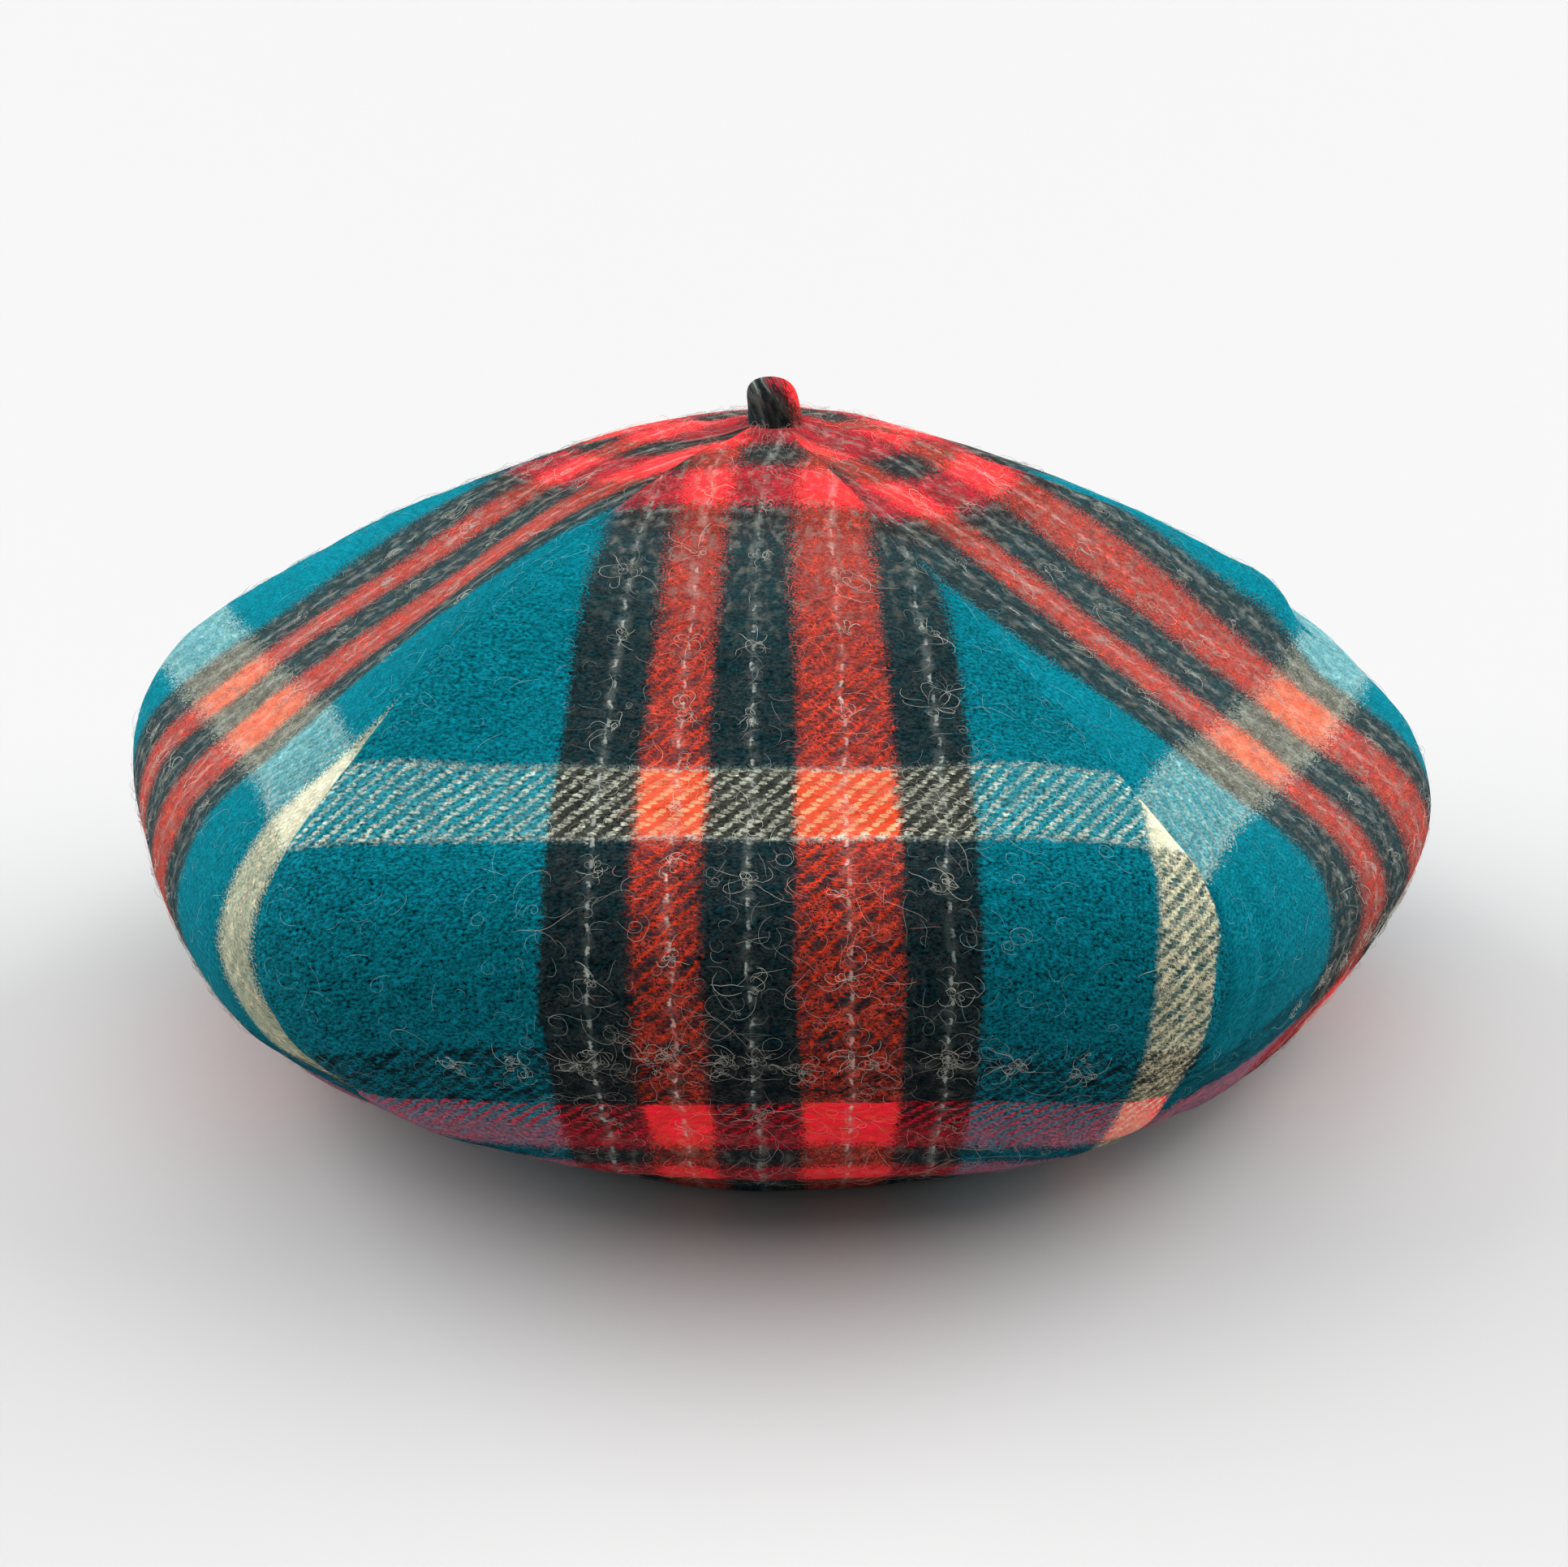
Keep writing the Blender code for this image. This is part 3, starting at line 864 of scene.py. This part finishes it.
def wool(name):
    """Brushed wool in the tartan, matt, with a trace of sheen."""
    made, shader, b = finish(name, 0.95, 0.015)
    nap = b.put("ShaderNodeAttribute", {"attribute_name": "brushed"}).outputs["Fac"]
    _, cloth = cut_cloth(b, nap)
    raised = b.put("ShaderNodeBump", Height=cloth.outputs["Relief"], Strength=0.8, Distance=0.0006)
    b.feed(shader.inputs["Base Color"], cloth.outputs["Color"])
    b.feed(shader.inputs["Normal"], raised.outputs[0])
    shader.inputs["Sheen Weight"].default_value = 0.01
    shader.inputs["Sheen Roughness"].default_value = 0.5
    return made


gore_wool = wool("gore_wool")
# The cut of a gore is a leaf 0.167 m wide, and 0.240 m long to the rim or 0.262 m with the hem
# that is turned in.
for node in GORES:
    gore = cut_gore(node)
    gore.data.materials.append(gore_wool)
    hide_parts(node)
    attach(gore, "root")

# ---------------------------------------------------------------------------------------------
# The loose fibres: wool that the brushing has pulled out of the cloth. Short ones curl all over
# it, long ones lie in loops over the low front, and tufts of pale ones mark the slub threads.

STEP_LENGTH = 18.0  # about the cloth between two steps of the fall, in millimetres
LAID_STEPS = (0.32, 11.7)  # fibres stay on the cloth between these steps
LAID_SHARE = 0.98
ROOT_DEPTH = 0.05  # the two ends of a fibre lie so high over the cloth, in millimetres
dice = np.random.default_rng(5)


def scatter(count, joints, length, curl):
    """Curling paths on the flat cloth: how far each joint lies across and down from its root."""
    heading = dice.uniform(0, 2 * math.pi, (count, 1))
    wandering = np.cumsum(dice.normal(0, 0.4 * curl, (count, joints)), 1)
    turning = dice.normal(0, 0.6 * curl, (count, 1)) + wandering
    heading = heading + np.cumsum(turning, 1)
    stride = length * dice.uniform(0.6, 1.4, (count, 1)) / joints
    return np.cumsum(np.cos(heading) * stride, 1), np.cumsum(np.sin(heading) * stride, 1)


def lay_on(node, share, step, path, rise):
    """Points of fibres that leave the cloth of a gore at their roots, arch over and return."""
    over, down = path
    wide = HALF_ANGLE * np.maximum(fall(step)[:, 0], 20.0)
    share = np.clip(share[:, None] + over / wide[:, None], -LAID_SHARE, LAID_SHARE)
    step = np.clip(step[:, None] + down / STEP_LENGTH, *LAID_STEPS)
    middle, half_turn, half_width = between_seams(node, step)
    face, way = outside(node, middle + half_turn * share, step, share, half_width)
    along = np.linspace(0, 1, over.shape[1])
    arch = np.sin(math.pi * np.clip(along * 1.15, 0, 1)) ** 0.7
    points = face + way * (ROOT_DEPTH + rise[:, None] * arch)[..., None]
    points[..., 2] = np.maximum(points[..., 2], 0.4)
    return points, way, np.stack(cloth_place(node, share[:, 0], step[:, 0]), -1)


def spin(name, batches, radius):
    """One mesh of thin three-sided threads along the paths, each coloured from its root."""
    corners, faces, cut, used = [], [], [], 0
    for points, way, root in batches:
        count, joints = points.shape[:2]
        along = np.gradient(points, axis=1)
        along /= np.linalg.norm(along, axis=-1, keepdims=True) + 1e-9
        side = np.cross(along, way)
        side /= np.linalg.norm(side, axis=-1, keepdims=True) + 1e-9
        up = np.cross(side, along)
        thin = radius * np.sin(np.linspace(0.25, math.pi - 0.25, joints)) ** 0.4
        rings = [
            points + thin[:, None] * (math.cos(turn) * side + math.sin(turn) * up)
            for turn in (0.0, 2 * math.pi / 3, 4 * math.pi / 3)
        ]
        corners.append(np.stack(rings, 2).reshape(-1, 3))
        index = used + np.arange(count * joints * 3).reshape(count, joints, 3)
        used += count * joints * 3
        for k in range(3):
            a, b = index[:, :, k], index[:, :, (k + 1) % 3]
            quads = np.stack([a[:, :-1], a[:, 1:], b[:, 1:], b[:, :-1]], -1)
            faces += quads.reshape(-1, 4).tolist()
        faces += index[:, 0].tolist() + index[:, -1, ::-1].tolist()
        cut.append(np.repeat(root, joints * 3, 0))
    mesh = bpy.data.meshes.new(name)
    mesh.from_pydata((np.concatenate(corners) * MM).tolist(), [], faces)
    lay_cut(mesh, *np.concatenate(cut).T)
    mesh.shade_smooth()
    return placed(name, mesh)


UNDYED = dye(222, 220, 208)


def fibre_wool(name, pale):
    """Undyed fibre, which takes some of the colour of the thread that it comes from."""
    made, shader, b = finish(name, 0.8, 0.1)
    place, cloth = cut_cloth(b, 1.0)
    tinted = b.scaled(cloth.outputs["Color"], (1.6, 1.5, 1.5), (0.02, 0.03, 0.03))
    shade = b.straight(b.clouds(place, 0.7, 2.0), 0.3, 0.7, 0.6, 1.3)
    b.feed(shader.inputs["Base Color"], b.mix(pale, tinted, b.dimmed(UNDYED[:3], shade)))
    return made


def share_of(across, step):
    """The share of a gore's width at which a distance from its middle lies."""
    return np.clip(across / (HALF_ANGLE * fall(step)[..., 0]), -0.95, 0.95)


# the pale threads lie down the middle of the stripes, and these of them on the orange ones
ORANGE_MIDDLES = (-9.6, 17.8)
BLACK_MIDDLES = [place for place in PALE_THREADS_DOWN if place not in ORANGE_MIDDLES]
SHORT_FIBRES = 780  # on each gore, half of them over the black stripes
LONG_FIBRES = 40
FRONT_LONG_FIBRES = 230
TIP_FIBRES = 46
TUFT_FIBRES = 9
# a fibre's joints, its length in millimetres and how much it curls
SHORT_PATH = (7, 5.5, 0.42)
TIP_PATH = (8, 6.0, 0.6)
LONG_PATH = (16, 11.0, 0.32)
TUFT_PATH = (8, 7.0, 0.75)
# how far it stands up from the cloth, in millimetres, and how much further the few wild ones do
SHORT_RISE = (0.1, 0.6)
WILD_SHARE, WILD_RISE = 0.15, 0.5
TIP_RISE = (0.3, 1.6)
LONG_RISE = TUFT_RISE = (0.2, 0.8)
# how far round the middles of the black stripes the roots are spread, in millimetres
SHORT_SPREAD = 7
LONG_SPREAD = 14
WHOLE_WIDTH = (-85, 85)
TUFTS_FROM, TUFTS_TO, TUFT_SPACING = 30.0, 215.0, 21.0  # down the cut, in millimetres
PICK_TUFTS_FROM, PICK_TUFTS_TO, PICK_TUFT_SPACING = -48.0, 60.0, 11.5  # across it
TUFTED_PICK = PALE_THREADS_ACROSS[2]


def short_curls(node):
    """Short curls of fibre all over a gore."""
    step = np.clip(RIM * dice.beta(2.2, 1.3, SHORT_FIBRES), 1.0, 11.6)
    across = np.where(
        dice.random(SHORT_FIBRES) < 0.5,
        dice.choice(BLACK_MIDDLES, SHORT_FIBRES) + dice.normal(0, SHORT_SPREAD, SHORT_FIBRES),
        dice.uniform(*WHOLE_WIDTH, SHORT_FIBRES),
    )
    path = scatter(SHORT_FIBRES, *SHORT_PATH)
    rise = dice.uniform(*SHORT_RISE, SHORT_FIBRES)
    rise = rise + (dice.random(SHORT_FIBRES) < WILD_SHARE) * WILD_RISE
    return lay_on(node, share_of(across, step), step, path, rise)


def tip_fuzz(node):
    """Fuzz round the foot of the stalk."""
    step = dice.uniform(0.35, 1.5, TIP_FIBRES)
    path = scatter(TIP_FIBRES, *TIP_PATH)
    share = dice.uniform(-0.9, 0.9, TIP_FIBRES)
    return lay_on(node, share, step, path, dice.uniform(*TIP_RISE, TIP_FIBRES))


def long_loops(node):
    """Long loops, most of them low on the front gore, over its black stripes."""
    if node == "gore_front":
        count = FRONT_LONG_FIBRES
        step = RIM * dice.beta(5.0, 1.7, count)
    else:
        count = LONG_FIBRES
        step = dice.uniform(5.0, 11.4, count)
    across = dice.choice(BLACK_MIDDLES, count) + dice.normal(0, LONG_SPREAD, count)
    path = scatter(count, *LONG_PATH)
    return lay_on(node, share_of(across, step), step, path, dice.uniform(*LONG_RISE, count))


def slub_tufts(node):
    """Tufts down the slub threads, and where a slub pick crosses the black stripes."""
    spots = [
        (place + dice.normal(0, 0.3), along + dice.uniform(-4, 4))
        for place in PALE_THREADS_DOWN
        for along in np.arange(TUFTS_FROM, TUFTS_TO, TUFT_SPACING)
    ]
    spots += [
        (place, TUFTED_PICK + dice.normal(0, 1.5))
        for place in np.arange(PICK_TUFTS_FROM, PICK_TUFTS_TO, PICK_TUFT_SPACING)
        for _ in range(2)
    ]
    fine = np.linspace(0.5, 11.8, 200)
    joints, length, curl = TUFT_PATH
    tufts = []
    for across, along in spots:
        share = share_of(np.full(len(fine), across), fine)
        step = np.interp(along, cloth_place(node, share, fine)[1], fine)
        if abs(across) >= 0.9 * HALF_ANGLE * fall(np.array([step]))[0, 0]:
            continue
        size = dice.uniform(0.35, 1.0)
        steps = step + dice.normal(0, 0.6 * size, TUFT_FIBRES) / STEP_LENGTH
        places = share_of(across + dice.normal(0, 0.5 * size, TUFT_FIBRES), steps)
        path = scatter(TUFT_FIBRES, joints, length * size, curl)
        tufts.append(lay_on(node, places, steps, path, dice.uniform(*TUFT_RISE, TUFT_FIBRES)))
    return tufts


short, long, tufts = [], [], []
for node in GORES:
    short.append(short_curls(node))
    long.append(tip_fuzz(node))
    long.append(long_loops(node))
    tufts += slub_tufts(node)

# each kind of fibre: its paths, how undyed it is, and its radius in millimetres
for name, batches, pale, radius in (
    ("short_fibres", short, 0.24, 0.035),
    ("long_fibres", long, 0.50, 0.028),
    ("slub_tufts", tufts, 0.9, 0.036),
):
    fibres = spin(name, batches, radius)
    fibres.data.materials.append(fibre_wool(name + "_wool", pale))
    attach(fibres, "root")

# ---------------------------------------------------------------------------------------------
# The stalk: a short tab of the same cloth, rolled and folded double, sewn into the tip where
# the gores meet. It leans a little and stands in a shallow dip.

STALK_BASE = 140.7  # the height of its foot, in millimetres
STALK_SUNK = 1.6  # it goes on so far into the tip
STALK_RADIUS = 5.9
STALK_FLATNESS = 0.80
# each lift from there: up, to the side, and the new width and depth against the last
STALK_LIFTS = (
    (1.6, 0.0, 0.99, 0.98),
    (1.6, -0.1, 0.97, 0.97),
    (1.6, -0.1, 0.98, 0.98),
    (1.6, -0.2, 0.98, 0.98),
    (1.5, -0.2, 0.98, 0.98),
    (1.4, -0.2, 0.95, 0.95),
    (1.1, -0.2, 0.88, 0.88),
    (0.8, -0.15, 0.78, 0.78),
    (0.45, 0.0, 0.62, 0.62),
    (0.15, 0.0, 0.45, 0.45),
)
# the rolled cloth's edge shows as a groove up the front, which ends below the top
EDGE_TURN = -1.25  # round the stalk, in radians
EDGE_SPREAD = 0.16
EDGE_SHARE = 0.10  # its depth, as a share of the radius
EDGE_TOP = 11.7
EDGE_FADES = 9.0
LUMP_SHARE = 0.05
LUMP_SIZE = (3.0, 3.0, 5.0)
STALK_CUT = (6.4, 41.0)  # the place of its foot in the tartan, across and down
STALK_NAP = 0.55

bpy.ops.object.select_all(action="DESELECT")
bpy.ops.mesh.primitive_circle_add(
    vertices=48,
    radius=STALK_RADIUS * MM,
    fill_type="NGON",
    location=(TIP[0] * MM, TIP[1] * MM, (STALK_BASE - STALK_SUNK) * MM),
    calc_uvs=False,
)
stalk = bpy.context.object
stalk.name = stalk.data.name = "stalk_cloth"
bpy.ops.object.transform_apply(location=True, rotation=True, scale=True)
bpy.ops.object.mode_set(mode="EDIT")
bpy.ops.mesh.select_all(action="SELECT")
bpy.ops.transform.resize(value=(1.0, STALK_FLATNESS, 1.0))
for up, side, width, depth in STALK_LIFTS:
    bpy.ops.mesh.extrude_region_move(TRANSFORM_OT_translate={"value": (side * MM, 0, up * MM)})
    bpy.ops.transform.resize(value=(width, depth, 1.0))
bpy.ops.mesh.poke()
bpy.ops.mesh.select_all(action="SELECT")
bpy.ops.mesh.normals_make_consistent(inside=False)
bpy.ops.object.mode_set(mode="OBJECT")

for vertex in stalk.data.vertices:
    x, y, z = vertex.co / MM
    x, y, up = x - TIP[0], y - TIP[1], z - STALK_BASE
    edge = math.exp(-(((math.atan2(y, x) - EDGE_TURN) / EDGE_SPREAD) ** 2))
    edge *= min(max((EDGE_TOP - up) / EDGE_FADES, 0.0), 1.0)
    lump = noise.noise(Vector((x / LUMP_SIZE[0], y / LUMP_SIZE[1], z / LUMP_SIZE[2])))
    swell = 1 - EDGE_SHARE * edge + LUMP_SHARE * lump
    vertex.co.x = (TIP[0] + x * swell) * MM
    vertex.co.y = (TIP[1] + y * swell) * MM
bpy.ops.object.modifier_add(type="SUBSURF")
stalk.modifiers["Subdivision"].levels = 1
stalk.modifiers["Subdivision"].render_levels = 1
bpy.ops.object.modifier_apply(modifier="Subdivision")
bpy.ops.object.shade_smooth()

points = np.empty(3 * len(stalk.data.vertices), np.float32)
stalk.data.vertices.foreach_get("co", points)
x, y, up = points.reshape(-1, 3).T.astype(float) / MM
x, y, up = x - TIP[0], y - TIP[1], up - STALK_BASE
over = STALK_CUT[0] + 1.2 * (x + 0.12 * up) + 0.3 * y
lay_cut(stalk.data, over, STALK_CUT[1] - 0.9 * up - 0.9 * x)
brush(stalk.data, np.full(len(over), STALK_NAP))
stalk.data.materials.append(wool("stalk_wool_brushed"))
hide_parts("stalk")
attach(stalk, "root")

# ---------------------------------------------------------------------------------------------
# The studio: a pale paper floor, a soft window to each side, a broad soft light overhead and a
# faint screen in front, so that no shadow is hard.

FLOOR_SIZE = 12.0
FLOOR_DROP = 0.0004  # it lies just under the hat, in metres
FLOOR_GREY = 0.56
BACKDROP_GREY = 0.90

bpy.ops.object.select_all(action="DESELECT")
bpy.ops.mesh.primitive_plane_add(size=FLOOR_SIZE, location=(0, 0, -FLOOR_DROP))
floor = bpy.context.object
floor.name = "floor"
bpy.ops.object.transform_apply(location=True, rotation=True, scale=True)
paper, shader, _ = finish("floor_paper", 0.9, 0.1)
shader.inputs["Base Color"].default_value = (FLOOR_GREY, FLOOR_GREY, FLOOR_GREY, 1.0)
floor.data.materials.append(paper)

# the surround lights the hat faintly, and looked at, it is as pale as the floor
world = bpy.data.worlds.new("studio")
bpy.context.scene.world = world
world.use_nodes = True
b = Bench(world.node_tree)
lit = world.node_tree.nodes["Background"]
lit.inputs["Color"].default_value = (1.0, 1.0, 1.0, 1.0)
lit.inputs["Strength"].default_value = 0.10
seen = b.put("ShaderNodeBackground", Color=(BACKDROP_GREY, BACKDROP_GREY, BACKDROP_GREY, 1.0))
looked_at = b.put("ShaderNodeLightPath").outputs["Is Camera Ray"]
either = b.put("ShaderNodeMixShader", i0=looked_at, i1=lit.outputs[0], i2=seen.outputs[0])
b.feed(world.node_tree.nodes["World Output"].inputs["Surface"], either.outputs[0])


def soft_light(name, towards, spread, strength):
    """A light that is so many degrees across, seen from the hat towards a direction."""
    lamp = bpy.data.lights.new(name, "SUN")
    lamp.angle = math.radians(spread)
    lamp.energy = strength
    holder = placed(name, lamp)
    holder.location = Vector(towards) * 2
    holder.rotation_mode = "QUATERNION"
    holder.rotation_quaternion = Vector(towards).to_track_quat("Z", "Y")


soft_light("left_window", (-0.85, 0.30, 0.50), 55, 2.9)
soft_light("right_window", (0.85, 0.30, 0.50), 55, 2.9)
soft_light("overhead", (0.0, 0.10, 1.0), 70, 2.1)
soft_light("front_screen", (0.0, -1.0, 0.20), 80, 0.12)

# ---------------------------------------------------------------------------------------------
# The camera looks down on the hat from the front, rolled by a degree. Its lens is shifted so
# that the point it aims at falls on the same pixel as in the photograph.

AIM_HEIGHT = 0.050  # it aims at the hat's axis, so high up, in metres
LOOK_DOWN = math.radians(28.6)
ROLL = math.radians(-0.995)
DISTANCE = 0.4756  # in metres
WIDE, HIGH = 1932, 1931  # the photograph, in pixels
AIM_X, AIM_Y = 963.8, 985.8  # the pixel that shows the point aimed at
FOCUS = 2509.5  # the focal length in pixels
SENSOR = 36.0  # in millimetres

back = Vector((0.0, -math.cos(LOOK_DOWN), math.sin(LOOK_DOWN)))
lens = bpy.data.cameras.new("camera")
lens.sensor_width = SENSOR
lens.lens = SENSOR * FOCUS / WIDE
lens.shift_x = (WIDE / 2 - AIM_X) / WIDE
lens.shift_y = (AIM_Y - HIGH / 2) / WIDE
lens.clip_start, lens.clip_end = 0.01, 50.0
camera = placed("camera", lens)
camera.location = Vector((TIP[0] * MM, TIP[1] * MM, AIM_HEIGHT)) + back * DISTANCE
camera.rotation_mode = "QUATERNION"
level = (-back).to_track_quat("-Z", "Y")
camera.rotation_quaternion = level @ Quaternion((0, 0, 1), ROLL)
bpy.context.scene.camera = camera
bpy.context.scene.view_settings.view_transform = "Standard"
